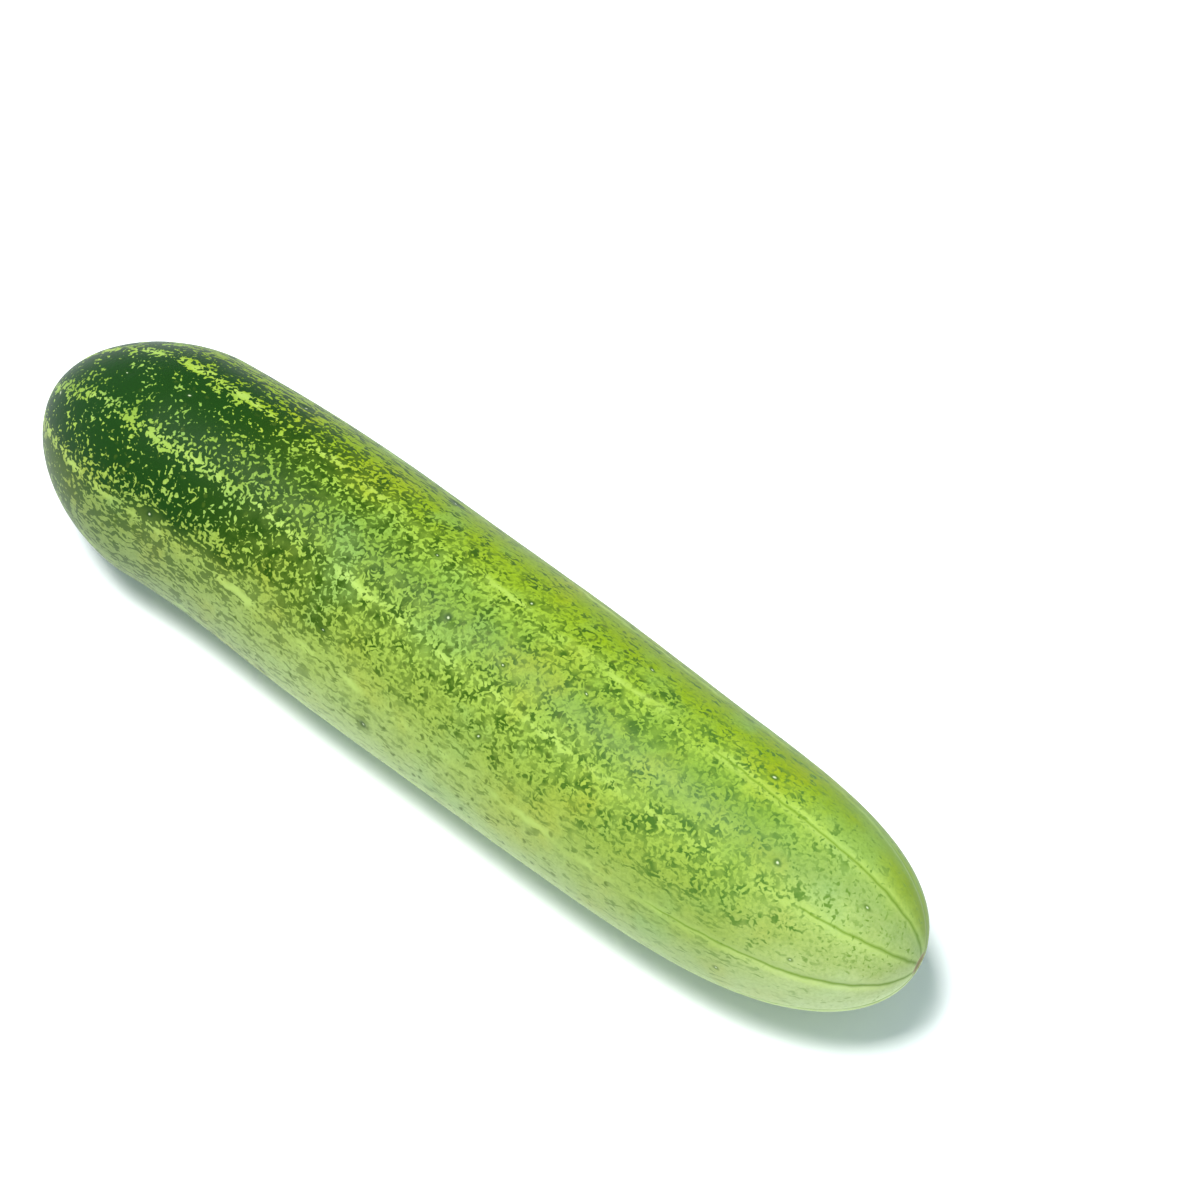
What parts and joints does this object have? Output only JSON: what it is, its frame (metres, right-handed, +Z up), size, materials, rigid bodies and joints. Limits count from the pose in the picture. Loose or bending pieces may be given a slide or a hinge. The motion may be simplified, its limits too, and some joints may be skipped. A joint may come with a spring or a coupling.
{
  "type": "cucumber",
  "caption": "Whole cucumber lying on its side: a long, faintly S-bent body, blunt at the stem end, with shallow seams that meet at the blossom end.",
  "frame": {"origin": "bottom centre of the fruit's box, on the surface it lies on", "axes": "+X along the fruit towards the blossom end, +Z up from the side it lies on"},
  "size_m": [0.207, 0.0528, 0.0479],
  "materials": {
    "peel": "satin, faintly waxy, with dark green flecks"
  },
  "bodies": {
    "root": {"cucumber": "peel"}
  },
  "joints": []
}
